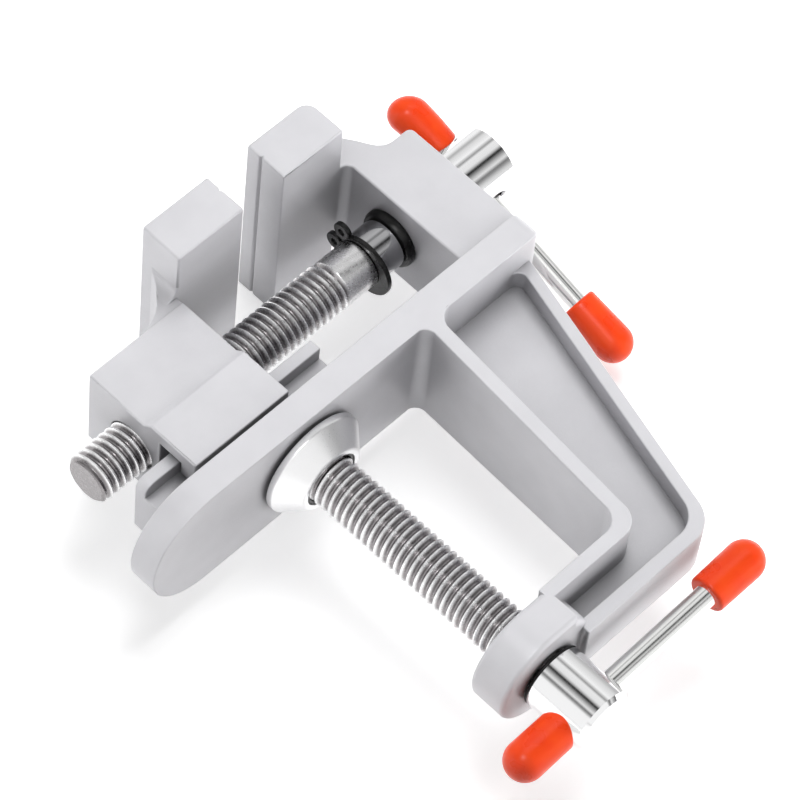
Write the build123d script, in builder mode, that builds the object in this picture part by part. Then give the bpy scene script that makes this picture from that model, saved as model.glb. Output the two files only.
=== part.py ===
from build123d import *
import math
import os

# A small clamp-on bench vise, drawn upright as it works, in millimetres.
# The origin is on the clamp screw's axis, in the face that seats on the bench top.
# +X runs along the lead screw to its head, +Z points up to the jaws.

# soft edges of the castings, how far joined blocks reach into each other,
# and how far a cut runs past what it trims
casting_edge_radius = 0.35
join = 1.0
cut_margin = 5.0

# seat plate
plate_thickness = 4.6
plate_half_width = 10.2
nose_center_x = -18.8
plate_corner_radius = 2.4

# wall that carries the lead screw, and the neck above it
wall_front_x = 34.5
wall_thickness = 10.9
wall_half_width = 8.0
wall_top_z = 25.8
wall_flat_length = 2.2
wall_corner_radius = 1.0
neck_drop = 0.8
neck_depth = 2.6
neck_waist_depth = 5.4
neck_waist_rise = 3.0
neck_top_tangent = (-0.25, 1)
neck_fillet = 1.4

# jaws
jaw_half_width = 17.0
jaw_bottom_z = 27.5
jaw_height = 7.2
jaw_back_radius = 2.0
fixed_jaw_face_x = 21.5
fixed_jaw_thickness = 11.6
moving_jaw_thickness = 12.3
jaw_gap = 7.7
jaw_groove_depth = 0.3
jaw_groove_height = 4.5

# slide rail under the moving block
rail_start_x = -22.4
rail_end_x = 10.8
rail_head_half_width = 6.3
rail_head_thickness = 2.0
rail_neck_half_width = 3.85
rail_neck_height = 4.1
rail_corner_radius = 1.8
rail_side_clearance = 0.3
rail_lip_clearance = 0.3
rail_top_clearance = 1.7

# moving block
block_length = 17.7
block_top_z = 26.4
block_half_width = 7.75
block_shoulder_half_width = 9.0
block_shoulder_top_z = 15.7
block_shoulder_drop = 1.4
block_floor_gap = 1.0
rib_half_width = 7.5
rib_side_radius = 2.2
rib_length = 8.1
rib_rise = 6.2
rib_foot_tangent = (1, 0.12)
rib_top_tangent = (0.45, 1)

# threads of both screws, M8 with a pitch of 1.25, drawn as a groove for every turn
thread_radius = 3.9
thread_root_radius = 3.22
thread_pitch = 1.25
thread_crest_width = 0.25
thread_clearance = 0.08
thread_chamfer = 0.7

# lead screw and what it turns in
screw_height = 17.8
lead_thread_start_x = -24.7
lead_thread_end_x = 22.0
lead_shank_radius = 3.78
journal_radius = 3.25
journal_clearance = 0.07
clip_x = 27.9
clip_thickness = 0.9
clip_groove_radius = 3.4
clip_clearance = 0.05
clip_ring_radius = 4.95
clip_offset = 0.8
clip_mouth = 0.7
clip_lug_radius = 1.5
clip_lug_distance = 5.1
clip_hole_radius = 0.55
clip_turn_degrees = 108.0
sleeve_radius = 3.95
bush_flange_radius = 4.7
bush_flange_thickness = 1.4
bush_flange_taper = 0.3
bush_radius = 4.2
axial_clearance = 0.1

# heads of the two screws
head_clearance = 0.1
lead_head_radius = 5.3
lead_head_length = 9.0
lead_bar_offset = 3.9
lead_hole_offset = 4.75
lead_hole_radius = 2.3
lead_head_chamfer = 0.35
lead_socket_depth = 2.2
clamp_head_radius = 5.0
clamp_head_length = 9.7
clamp_bar_offset = 6.05
clamp_head_chamfer = 0.6
clamp_socket_depth = 3.0
socket_clearance = 0.02
clamp_hole_clearance = 0.2

# handle bars and their caps, measured along the bar from the screw axis
lead_bar_radius = 1.4
lead_bar_tilt = 20.0
lead_cap_radius = 2.8
clamp_bar_radius = 1.65
clamp_bar_tilt = 3.0
clamp_cap_radius = 2.85
cap_head_gap = 0.25
near_cap_length = 9.4
far_cap_length = 10.6
cap_wall = 2.0
cap_lip_radius = 0.5
bar_chamfer = 0.3
lead_bar_reach = 34.4
clamp_bar_reach = 34.1

# clamp frame below the seat
web_half_thickness = 1.0
inner_flange_thickness = 2.2
outer_flange_thickness = 1.9
outer_flange_half_width = 4.5
throat_top_x = 22.2
throat_bottom_x = 19.9
outer_top_x = 43.5
outer_bottom_x = 31.0
arm_top_z = -38.9
arm_inner_flange_z = -41.0
arm_outer_flange_z = -44.6
arm_bottom_z = -46.8
arm_half_width = 8.5
throat_top_radius = 1.8
throat_bottom_radius = 3.0
pocket_top_radius = 2.6
pocket_corner_radius = 3.4
pocket_outer_radius = 1.4
frame_corner_radius = 5.0
inner_corner_radius = 4.2
boss_radius = 8.6
boss_top_z = -39.4
boss_bottom_z = -45.6
boss_block_x = 5.1
flange_end_x = 6.2
boss_edge_radius = 0.8

# clamp screw and its pad
pad_gap = 0.5
pad_radius = 8.4
pad_rim = 1.0
pad_height = 4.3
pad_neck_radius = 5.4
pad_edge_radius = 0.8
pad_socket_radius = 4.5
pad_roof = 1.4
screw_end_gap = 0.2
retainer_height = 0.9
retainer_inset = 0.25
stop_ring_radius = 5.0
stop_ring_thickness = 0.5
stop_ring_gap = 0.45

# places worked out from the sizes above
wall_back_x = wall_front_x + wall_thickness
plate_end_x = wall_back_x
plate_end_radius = plate_end_x - outer_top_x
jaw_top_z = jaw_bottom_z + jaw_height
fixed_jaw_back_x = fixed_jaw_face_x + fixed_jaw_thickness
moving_jaw_face_x = fixed_jaw_face_x - jaw_gap
moving_jaw_back_x = moving_jaw_face_x - moving_jaw_thickness
block_back_x = moving_jaw_back_x - block_length
block_shoulder_z = block_shoulder_top_z - block_shoulder_drop
block_bottom_z = plate_thickness + block_floor_gap
rail_head_bottom_z = plate_thickness + rail_neck_height
rail_head_top_z = rail_head_bottom_z + rail_head_thickness
slot_ceiling_z = rail_head_top_z + rail_top_clearance
lip_top_z = rail_head_bottom_z - rail_lip_clearance
lip_half_gap = rail_neck_half_width + rail_side_clearance
slot_half_width = rail_head_half_width + rail_side_clearance
thread_bore_radius = thread_radius + thread_clearance
lead_head_x = wall_back_x + head_clearance
lead_bar_x = lead_head_x + lead_bar_offset
bush_flange_x = wall_front_x - bush_flange_thickness
sleeve_start_x = clip_x + clip_thickness
sleeve_end_x = bush_flange_x - axial_clearance
pad_top_z = -pad_gap
pad_bottom_z = pad_top_z - pad_height
pad_socket_z = pad_top_z - pad_roof
clamp_screw_top_z = pad_socket_z - screw_end_gap
stop_ring_top_z = boss_bottom_z - stop_ring_gap
clamp_head_top_z = stop_ring_top_z - stop_ring_thickness
clamp_head_bottom_z = clamp_head_top_z - clamp_head_length
clamp_bar_z = clamp_head_top_z - clamp_bar_offset

# drawing planes along the two screws and the two handle bars
lead_axis = Axis((0, 0, screw_height), (1, 0, 0))
lead_plane = Plane(origin=(0, 0, screw_height), x_dir=(1, 0, 0), z_dir=(0, -1, 0))
clamp_plane = Plane(origin=(0, 0, clamp_screw_top_z), x_dir=(0, 0, -1), z_dir=(0, -1, 0))
lead_tilt = math.radians(lead_bar_tilt)
lead_bar_direction = (0, math.sin(lead_tilt), -math.cos(lead_tilt))
clamp_tilt = math.radians(clamp_bar_tilt)
clamp_bar_direction = (math.cos(clamp_tilt), -math.sin(clamp_tilt), 0)


def bar_plane(center, direction, side):
    """Plane whose X axis runs out along a handle bar, to the named side of the screw."""
    outward = Vector(*direction) * side
    across = Vector(1, 0, 0) if abs(outward.X) < 0.5 else Vector(0, 0, 1)
    return Plane(origin=center, x_dir=outward, z_dir=across)


def tube(plane, start, end, outer_radius, inner_radius, label):
    """Plain tube turned about the plane's X axis, from start to end."""
    with BuildPart() as piece:
        with BuildSketch(plane):
            with Locations(((start + end) / 2, (outer_radius + inner_radius) / 2)):
                Rectangle(end - start, outer_radius - inner_radius)
        revolve(axis=Axis(plane.origin, plane.x_dir))
    piece.part.label = label
    return piece.part


def thread_grooves(start, end):
    """Outline points (along, out) of the grooves that a thread has between two places."""
    flank_width = (thread_pitch - thread_crest_width) / 2
    points = []
    for turn in range(math.floor((end - start) / thread_pitch)):
        root = start + (turn + 0.5) * thread_pitch
        points.append((root - flank_width, thread_radius))
        points.append((root, thread_root_radius))
        points.append((root + flank_width, thread_radius))
    return points


def handle_bar(center, direction, back, front, radius, label):
    """Round bar through a screw head, with slightly broken ends."""
    plane = bar_plane(center, direction, 1)
    with BuildPart() as piece:
        with BuildSketch(Plane(origin=plane.origin - plane.x_dir * back, z_dir=plane.x_dir)):
            Circle(radius)
        extrude(amount=back + front)
        chamfer(piece.edges().filter_by(GeomType.CIRCLE), length=bar_chamfer)
    piece.part.label = label
    return piece.part


def handle_cap(center, direction, side, start, end, cap_radius, bar_radius, label):
    """Dipped plastic cap: a blind tube on the end of a bar, with a round closed end."""
    plane = bar_plane(center, direction, side)
    floor = end - cap_wall
    with BuildPart() as piece:
        with BuildSketch(plane):
            with BuildLine():
                Line((start, bar_radius), (start, cap_radius - cap_lip_radius))
                CenterArc((start + cap_lip_radius, cap_radius - cap_lip_radius), cap_lip_radius, 180, -90)
                Line((start + cap_lip_radius, cap_radius), (end - cap_radius, cap_radius))
                CenterArc((end - cap_radius, 0), cap_radius, 90, -90)
                Polyline((end, 0), (floor, 0), (floor, bar_radius), (start, bar_radius))
            make_face()
        revolve(axis=Axis(plane.origin, plane.x_dir))
    piece.part.label = label
    return piece.part


# ---- cast frame: seat plate, rail, wall, fixed jaw, and the C-shaped clamp frame ----
outer_slope = (outer_top_x - outer_bottom_x) / -arm_bottom_z
throat_slope = (throat_top_x - throat_bottom_x) / -arm_top_z
# level thickness of the sloping outer flange
outer_flange_run = outer_flange_thickness * math.sqrt(1 + outer_slope**2)
pocket_foot_x = outer_top_x - outer_flange_run + arm_outer_flange_z * outer_slope
flange_foot_x = throat_top_x + inner_flange_thickness + arm_inner_flange_z * throat_slope
pocket_start_x = throat_top_x + inner_flange_thickness
pocket_end_x = outer_top_x - outer_flange_run
arm_middle_z = (arm_inner_flange_z + arm_outer_flange_z) / 2
web_corner_x = (throat_bottom_x + pocket_foot_x) / 2 + inner_flange_thickness
frame_middle_x = (throat_top_x + outer_top_x) / 2
arm_end_x = boss_block_x - join

with BuildSketch() as pocket:
    with BuildLine():
        Polyline(
            (pocket_start_x, 0),
            (pocket_end_x, 0),
            (pocket_foot_x, arm_outer_flange_z),
            (arm_end_x, arm_outer_flange_z),
            (arm_end_x, arm_inner_flange_z),
            (flange_foot_x, arm_inner_flange_z),
            (pocket_start_x, 0),
        )
    make_face()
    top_corner = pocket.vertices().sort_by_distance((pocket_start_x, 0))[0]
    fillet(top_corner, radius=pocket_top_radius)
    outer_top_corner = pocket.vertices().sort_by_distance((pocket_end_x, 0))[0]
    fillet(outer_top_corner, radius=pocket_outer_radius)
    outer_corner = pocket.vertices().sort_by_distance((pocket_foot_x, arm_outer_flange_z))[0]
    fillet(outer_corner, radius=inner_corner_radius)
    inner_corner = pocket.vertices().sort_by_distance((flange_foot_x, arm_inner_flange_z))[0]
    fillet(inner_corner, radius=pocket_corner_radius)

# fixed jaw, a bar across the vise with a groove for round stock
with BuildPart() as fixed_jaw:
    with BuildSketch(Plane.XZ):
        with Locations((fixed_jaw_face_x + fixed_jaw_thickness / 2, jaw_bottom_z + jaw_height / 2)):
            jaw_face = Rectangle(fixed_jaw_thickness, jaw_height)
        back_top = jaw_face.vertices().group_by(Axis.X)[-1].sort_by(Axis.Y)[-1]
        fillet(back_top, radius=jaw_back_radius)
        with Locations((fixed_jaw_face_x, jaw_bottom_z + jaw_groove_height)):
            RegularPolygon(jaw_groove_depth, 4, major_radius=True, mode=Mode.SUBTRACT)
    extrude(amount=jaw_half_width, both=True)
    jaw_ends = fixed_jaw.edges().group_by(Axis.Y)
    fillet(jaw_ends[0] + jaw_ends[-1], radius=casting_edge_radius)

# boss for the clamp screw, round at its tip and square towards the arm
with BuildPart() as boss:
    with BuildSketch(Plane.XY.offset(boss_bottom_z)):
        Circle(boss_radius)
        with Locations((boss_block_x / 2, 0)):
            Rectangle(boss_block_x, 2 * arm_half_width)
    extrude(amount=boss_top_z - boss_bottom_z)
    boss_rims = boss.edges().group_by(Axis.Z)
    fillet(boss_rims[0] + boss_rims[-1], radius=boss_edge_radius)

# wall, and the neck that sweeps up from it to the back of the jaw
with BuildPart() as wall:
    with BuildSketch(Plane.XZ):
        with BuildLine():
            flat_end = (wall_back_x - wall_corner_radius, wall_top_z)
            flat_start = (wall_back_x - wall_corner_radius - wall_flat_length, wall_top_z)
            neck_top = (fixed_jaw_back_x + neck_depth, jaw_top_z - neck_drop)
            Polyline(
                neck_top,
                (fixed_jaw_back_x - join, neck_top[1]),
                (fixed_jaw_back_x - join, jaw_bottom_z),
                (wall_front_x - neck_fillet, jaw_bottom_z),
            )
            RadiusArc(
                (wall_front_x - neck_fillet, jaw_bottom_z),
                (wall_front_x, jaw_bottom_z - neck_fillet),
                neck_fillet,
            )
            Polyline(
                (wall_front_x, jaw_bottom_z - neck_fillet),
                (wall_front_x, plate_thickness / 2),
                (wall_back_x, plate_thickness / 2),
                (wall_back_x, wall_top_z - wall_corner_radius),
            )
            CenterArc((flat_end[0], wall_top_z - wall_corner_radius), wall_corner_radius, 0, 90)
            Line(flat_end, flat_start)
            Spline(
                flat_start,
                (fixed_jaw_back_x + neck_waist_depth, wall_top_z + neck_waist_rise),
                neck_top,
                tangents=((-1, 0), neck_top_tangent),
            )
        make_face()
    extrude(amount=wall_half_width, both=True)
    wall_sides = wall.edges().group_by(Axis.Y)
    fillet(wall_sides[0] + wall_sides[-1], radius=casting_edge_radius)

with BuildPart() as frame_casting:
    # seat plate with its round nose
    with BuildSketch(Plane.XY):
        with BuildLine():
            Polyline(
                (nose_center_x, plate_half_width),
                (plate_end_x, plate_half_width),
                (plate_end_x, -plate_half_width),
                (nose_center_x, -plate_half_width),
            )
            CenterArc((nose_center_x, 0), plate_half_width, 90, 180)
        plate_face = make_face()
        plate_corners = plate_face.vertices().group_by(Axis.X)[-1]
        fillet(plate_corners, radius=plate_corner_radius)
    extrude(amount=plate_thickness)
    # its end curves down into the outer flange
    with BuildSketch(Plane.XZ):
        with BuildLine():
            CenterArc((outer_top_x, plate_end_radius), plate_end_radius, -90, 90)
            Polyline(
                (plate_end_x, plate_end_radius),
                (plate_end_x + cut_margin, plate_end_radius),
                (plate_end_x + cut_margin, -cut_margin),
                (outer_top_x, -cut_margin),
                (outer_top_x, 0),
            )
        make_face()
    extrude(amount=plate_half_width, both=True, mode=Mode.SUBTRACT)

    # T-shaped rail, the head over the neck
    with BuildSketch(Plane.XY.offset(plate_thickness)):
        with Locations(((rail_start_x + rail_end_x) / 2, 0)):
            rail_neck = Rectangle(rail_end_x - rail_start_x, 2 * rail_neck_half_width)
    extrude(amount=rail_neck_height)
    with BuildSketch(Plane.XY.offset(rail_head_bottom_z)):
        with Locations(((rail_start_x + rail_end_x) / 2, 0)):
            rail_head = Rectangle(rail_end_x - rail_start_x, 2 * rail_head_half_width)
        fillet(rail_head.vertices().group_by(Axis.X)[0], radius=rail_corner_radius)
    extrude(amount=rail_head_thickness)

    # wall with its neck
    add(wall.part)

    # fixed jaw
    add(fixed_jaw.part)

    # clamp frame: a rim all round a pocket, on both sides of a thin web
    with BuildSketch(Plane.XZ) as rim:
        with BuildLine():
            Polyline(
                (throat_top_x - 2 * throat_top_radius, plate_thickness / 2),
                (throat_top_x + 2 * throat_top_radius, plate_thickness / 2),
                (throat_top_x + 2 * throat_top_radius, 0),
                (outer_top_x, 0),
                (outer_bottom_x, arm_bottom_z),
                (flange_end_x, arm_bottom_z),
                (flange_end_x, boss_bottom_z),
                (arm_end_x, boss_bottom_z),
                (arm_end_x, arm_top_z),
                (throat_bottom_x, arm_top_z),
                (throat_top_x, 0),
                (throat_top_x - 2 * throat_top_radius, 0),
                (throat_top_x - 2 * throat_top_radius, plate_thickness / 2),
            )
        make_face()
        throat_top = rim.vertices().sort_by_distance((throat_top_x, 0))[0]
        fillet(throat_top, radius=throat_top_radius)
        throat_bottom = rim.vertices().sort_by_distance((throat_bottom_x, arm_top_z))[0]
        fillet(throat_bottom, radius=throat_bottom_radius)
        frame_corner = rim.vertices().sort_by_distance((outer_bottom_x, arm_bottom_z))[0]
        fillet(frame_corner, radius=frame_corner_radius)
        add(pocket.sketch, mode=Mode.SUBTRACT)
    extrude(amount=plate_half_width, both=True)

    # the outer flange is lower than the inner one
    for side in (1, -1):
        with BuildSketch(Plane.XZ.offset(-side * outer_flange_half_width)):
            with BuildLine():
                Polyline(
                    (frame_middle_x, 0),
                    (outer_top_x + cut_margin, 0),
                    (outer_top_x + cut_margin, arm_bottom_z - cut_margin),
                    (boss_block_x, arm_bottom_z - cut_margin),
                    (boss_block_x, arm_middle_z),
                    (web_corner_x, arm_middle_z),
                    (frame_middle_x, 0),
                )
            make_face()
        extrude(amount=-side * plate_half_width, mode=Mode.SUBTRACT)

    # the inner flange narrows from the plate to the arm
    with BuildSketch(Plane.YZ):
        with BuildLine():
            Polyline(
                (plate_half_width, 0),
                (arm_half_width, throat_bottom_radius + arm_top_z),
                (arm_half_width, arm_bottom_z - cut_margin),
                (plate_half_width + cut_margin, arm_bottom_z - cut_margin),
                (plate_half_width + cut_margin, 0),
                (plate_half_width, 0),
            )
        make_face()
        mirror(about=Plane.YZ)
    extrude(amount=outer_top_x + cut_margin, mode=Mode.SUBTRACT)

    # web that fills the pocket's middle
    with BuildSketch(Plane.XZ):
        add(pocket.sketch)
    extrude(amount=web_half_thickness, both=True)

    # boss at the arm's end
    add(boss.part)

    # bores for the two screws
    with BuildSketch(Plane.XY.offset(boss_bottom_z)):
        Circle(thread_bore_radius)
    extrude(amount=boss_top_z - boss_bottom_z, mode=Mode.SUBTRACT)
    with BuildSketch(Plane.YZ.offset(wall_front_x)):
        with Locations((0, screw_height)):
            Circle(bush_radius)
    extrude(amount=wall_thickness, mode=Mode.SUBTRACT)
frame_casting.part.label = "frame_casting"

# ---- moving jaw: block on the rail, rib and jaw in one casting ----
with BuildPart() as jaw_bar:
    with BuildSketch(Plane.XZ):
        with Locations((moving_jaw_face_x - moving_jaw_thickness / 2, jaw_bottom_z + jaw_height / 2)):
            Rectangle(moving_jaw_thickness, jaw_height)
        with Locations((moving_jaw_face_x, jaw_bottom_z + jaw_groove_height)):
            RegularPolygon(jaw_groove_depth, 4, major_radius=True, mode=Mode.SUBTRACT)
    extrude(amount=jaw_half_width, both=True)
    bar_ends = jaw_bar.edges().group_by(Axis.Y)
    bar_back = jaw_bar.edges().group_by(Axis.X)[0].filter_by(Axis.Y)
    fillet(bar_ends[0] + bar_ends[-1] + bar_back, radius=casting_edge_radius)

with BuildSketch() as rib_profile:
    with BuildLine():
        rib_start_x = moving_jaw_back_x - rib_length
        Line((rib_start_x, block_top_z - join), (rib_start_x, block_top_z))
        Spline(
            (rib_start_x, block_top_z),
            (moving_jaw_back_x, block_top_z + rib_rise),
            tangents=(rib_foot_tangent, rib_top_tangent),
        )
        Polyline(
            (moving_jaw_back_x, block_top_z + rib_rise),
            (moving_jaw_back_x + join, block_top_z + rib_rise),
            (moving_jaw_back_x + join, jaw_bottom_z),
            (moving_jaw_back_x, jaw_bottom_z),
            (moving_jaw_back_x, block_top_z - join),
            (rib_start_x, block_top_z - join),
        )
    make_face()

# the rib's sides flare into the back of the jaw
with BuildPart() as rib_root:
    with BuildSketch(Plane.XZ):
        add(rib_profile.sketch)
    extrude(amount=rib_half_width + rib_side_radius, both=True)
    with BuildSketch(Plane.XY.offset(jaw_bottom_z)) as rib_plan:
        with Locations((moving_jaw_back_x - rib_length / 2, 0)):
            Rectangle(rib_length, 2 * rib_half_width)
        with Locations((moving_jaw_back_x + join / 2, 0)):
            Rectangle(join, 2 * (rib_half_width + rib_side_radius + join))
        root_corners = rib_plan.vertices().group_by(Axis.X)[1].sort_by(Axis.Y)[1:3]
        fillet(root_corners, radius=rib_side_radius)
    extrude(amount=jaw_height, mode=Mode.INTERSECT)

with BuildPart() as moving_jaw:
    with BuildSketch(Plane.YZ.offset(block_back_x)):
        with BuildLine():
            Polyline(
                (0, block_top_z),
                (block_half_width, block_top_z),
                (block_half_width, block_shoulder_top_z),
                (block_shoulder_half_width, block_shoulder_z),
                (block_shoulder_half_width, block_bottom_z),
                (lip_half_gap, block_bottom_z),
                (lip_half_gap, lip_top_z),
                (slot_half_width, lip_top_z),
                (slot_half_width, slot_ceiling_z),
                (0, slot_ceiling_z),
                (0, block_top_z),
            )
        make_face()
        mirror(about=Plane.YZ)
    extrude(amount=block_length)

    # rib that carries the jaw on the block
    with BuildSketch(Plane.XZ):
        add(rib_profile.sketch)
    extrude(amount=rib_half_width, both=True)

    block_rims = moving_jaw.edges().group_by(Axis.X)[0]
    fillet(block_rims, radius=casting_edge_radius)
    add(rib_root.part)
    add(jaw_bar.part)

    # threaded bore
    with BuildSketch(Plane.YZ.offset(block_back_x)):
        with Locations((0, screw_height)):
            Circle(thread_bore_radius)
    extrude(amount=block_length, mode=Mode.SUBTRACT)
moving_jaw.part.label = "moving_jaw"

# ---- lead screw with its clip, sleeve, bush and head ----
with BuildPart() as lead_screw:
    with BuildSketch(lead_plane):
        with BuildLine():
            Polyline(
                (lead_thread_start_x, 0),
                (lead_thread_start_x, thread_radius - thread_chamfer),
                (lead_thread_start_x + thread_chamfer, thread_radius),
                *thread_grooves(lead_thread_start_x + thread_chamfer, lead_thread_end_x),
                (lead_thread_end_x, thread_radius),
                (lead_thread_end_x, lead_shank_radius),
                (clip_x, lead_shank_radius),
                (clip_x, clip_groove_radius),
                (clip_x + clip_thickness, clip_groove_radius),
                (clip_x + clip_thickness, journal_radius),
                (lead_head_x + lead_socket_depth, journal_radius),
                (lead_head_x + lead_socket_depth, 0),
                (lead_thread_start_x, 0),
            )
        make_face()
    revolve(axis=lead_axis)
lead_screw.part.label = "lead_screw"

spacer_sleeve = tube(
    lead_plane,
    sleeve_start_x + axial_clearance / 2,
    sleeve_end_x,
    sleeve_radius,
    journal_radius + socket_clearance,
    "spacer_sleeve",
)

with BuildPart() as shank_bush:
    with BuildSketch(lead_plane):
        with BuildLine():
            Polyline(
                (bush_flange_x, journal_radius + journal_clearance),
                (bush_flange_x, bush_flange_radius - bush_flange_taper),
                (bush_flange_x + bush_flange_thickness / 2, bush_flange_radius),
                (wall_front_x, bush_flange_radius),
                (wall_front_x, bush_radius),
                (wall_back_x, bush_radius),
                (wall_back_x, journal_radius + journal_clearance),
                (bush_flange_x, journal_radius + journal_clearance),
            )
        make_face()
    revolve(axis=lead_axis)
shank_bush.part.label = "shank_bush"

with BuildPart() as retaining_clip:
    clip_turn = math.radians(clip_turn_degrees)
    clip_place = Plane(
        origin=(clip_x + clip_clearance, 0, screw_height),
        x_dir=(0, math.cos(clip_turn), math.sin(clip_turn)),
        z_dir=(1, 0, 0),
    )
    with BuildSketch(clip_place):
        with Locations((-clip_offset, 0)):
            Circle(clip_ring_radius)
        Circle(clip_groove_radius + clip_clearance, mode=Mode.SUBTRACT)
        # the gap between the ends, which the lugs stand beside
        with Locations((clip_ring_radius, 0)):
            Rectangle(2 * clip_ring_radius, clip_mouth, mode=Mode.SUBTRACT)
        lug_angle = math.degrees(math.asin((clip_mouth / 2 + clip_lug_radius) / clip_lug_distance))
        with PolarLocations(clip_lug_distance, 2, start_angle=-lug_angle, angular_range=4 * lug_angle):
            Circle(clip_lug_radius)
            Circle(clip_hole_radius, mode=Mode.SUBTRACT)
        Circle(clip_groove_radius + clip_clearance, mode=Mode.SUBTRACT)
    extrude(amount=clip_thickness - 2 * clip_clearance)
retaining_clip.part.label = "retaining_clip"

with BuildPart() as lead_screw_head:
    with BuildSketch(Plane.YZ.offset(lead_head_x)):
        with Locations((0, screw_height)):
            Circle(lead_head_radius)
    extrude(amount=lead_head_length)
    chamfer(lead_screw_head.edges().group_by(Axis.X)[-1], length=lead_head_chamfer)
    with BuildSketch(Plane.YZ.offset(lead_head_x)):
        with Locations((0, screw_height)):
            Circle(journal_radius + socket_clearance)
    extrude(amount=lead_socket_depth, mode=Mode.SUBTRACT)
    lead_hole_x = lead_head_x + lead_hole_offset
    with BuildSketch(Plane(origin=(lead_hole_x, 0, screw_height), z_dir=lead_bar_direction)):
        Circle(lead_hole_radius)
    extrude(amount=2 * lead_head_radius, both=True, mode=Mode.SUBTRACT)
lead_screw_head.part.label = "lead_screw_head"

lead_center = (lead_bar_x, 0, screw_height)
lead_near_cap = lead_head_radius + cap_head_gap
lead_near_end = lead_near_cap + near_cap_length
lead_far_cap = lead_bar_reach - far_cap_length
lead_bar_back = lead_near_end - cap_wall
lead_bar_front = lead_bar_reach - cap_wall
lead_handle_bar = handle_bar(
    lead_center, lead_bar_direction, lead_bar_back, lead_bar_front, lead_bar_radius, "lead_handle_bar"
)
lead_caps = (lead_cap_radius, lead_bar_radius)
lead_cap_upper = handle_cap(
    lead_center, lead_bar_direction, -1, lead_near_cap, lead_near_end, *lead_caps, "lead_cap_upper"
)
lead_cap_lower = handle_cap(
    lead_center, lead_bar_direction, 1, lead_far_cap, lead_bar_reach, *lead_caps, "lead_cap_lower"
)

# ---- clamp screw with its pad, retainer, ring and head ----
with BuildPart() as clamp_screw:
    with BuildSketch(clamp_plane):
        with BuildLine():
            clamp_thread_length = clamp_screw_top_z - stop_ring_top_z
            clamp_screw_length = clamp_screw_top_z - clamp_head_top_z + clamp_socket_depth
            Polyline(
                (0, 0),
                (0, thread_radius - thread_chamfer),
                (thread_chamfer, thread_radius),
                *thread_grooves(thread_chamfer, clamp_thread_length),
                (clamp_screw_length, thread_radius),
                (clamp_screw_length, 0),
                (0, 0),
            )
        make_face()
    revolve(axis=Axis.Z)
clamp_screw.part.label = "clamp_screw"

with BuildPart() as clamp_pad:
    with BuildSketch(Plane.XZ):
        with BuildLine():
            Polyline(
                (0, pad_top_z),
                (pad_radius, pad_top_z),
                (pad_radius, pad_top_z - pad_rim),
                (pad_neck_radius, pad_bottom_z),
                (pad_socket_radius, pad_bottom_z),
                (pad_socket_radius, pad_socket_z),
                (0, pad_socket_z),
                (0, pad_top_z),
            )
        pad_profile = make_face()
        pad_shoulder = pad_profile.vertices().sort_by_distance((pad_neck_radius, pad_bottom_z))[0]
        fillet(pad_shoulder, radius=pad_edge_radius)
    revolve(axis=Axis.Z)
clamp_pad.part.label = "clamp_pad"

with BuildPart() as pad_retainer:
    with BuildSketch(Plane.XY.offset(pad_bottom_z + retainer_inset)):
        Circle(pad_socket_radius)
        Circle(thread_bore_radius, mode=Mode.SUBTRACT)
    extrude(amount=retainer_height)
pad_retainer.part.label = "pad_retainer"

with BuildPart() as stop_ring:
    with BuildSketch(Plane.XY.offset(clamp_head_top_z)):
        Circle(stop_ring_radius)
        Circle(thread_radius + socket_clearance, mode=Mode.SUBTRACT)
    extrude(amount=stop_ring_thickness)
stop_ring.part.label = "stop_ring"

with BuildPart() as clamp_screw_head:
    with BuildSketch(Plane.XY.offset(clamp_head_bottom_z)):
        Circle(clamp_head_radius)
    extrude(amount=clamp_head_length)
    chamfer(clamp_screw_head.edges().group_by(Axis.Z)[0], length=clamp_head_chamfer)
    with BuildSketch(Plane.XY.offset(clamp_head_top_z)):
        Circle(thread_radius + socket_clearance)
    extrude(amount=-clamp_socket_depth, mode=Mode.SUBTRACT)
    with BuildSketch(Plane(origin=(0, 0, clamp_bar_z), z_dir=clamp_bar_direction)):
        Circle(clamp_bar_radius + clamp_hole_clearance)
    extrude(amount=2 * clamp_head_radius, both=True, mode=Mode.SUBTRACT)
clamp_screw_head.part.label = "clamp_screw_head"

clamp_center = (0, 0, clamp_bar_z)
clamp_near_cap = clamp_head_radius + cap_head_gap
clamp_near_end = clamp_near_cap + near_cap_length
clamp_far_cap = clamp_bar_reach - far_cap_length
clamp_bar_back = clamp_near_end - cap_wall
clamp_bar_front = clamp_bar_reach - cap_wall
clamp_handle_bar = handle_bar(
    clamp_center, clamp_bar_direction, clamp_bar_back, clamp_bar_front, clamp_bar_radius, "clamp_handle_bar"
)
clamp_caps = (clamp_cap_radius, clamp_bar_radius)
clamp_cap_near = handle_cap(
    clamp_center, clamp_bar_direction, -1, clamp_near_cap, clamp_near_end, *clamp_caps, "clamp_cap_near"
)
clamp_cap_far = handle_cap(
    clamp_center, clamp_bar_direction, 1, clamp_far_cap, clamp_bar_reach, *clamp_caps, "clamp_cap_far"
)

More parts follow.
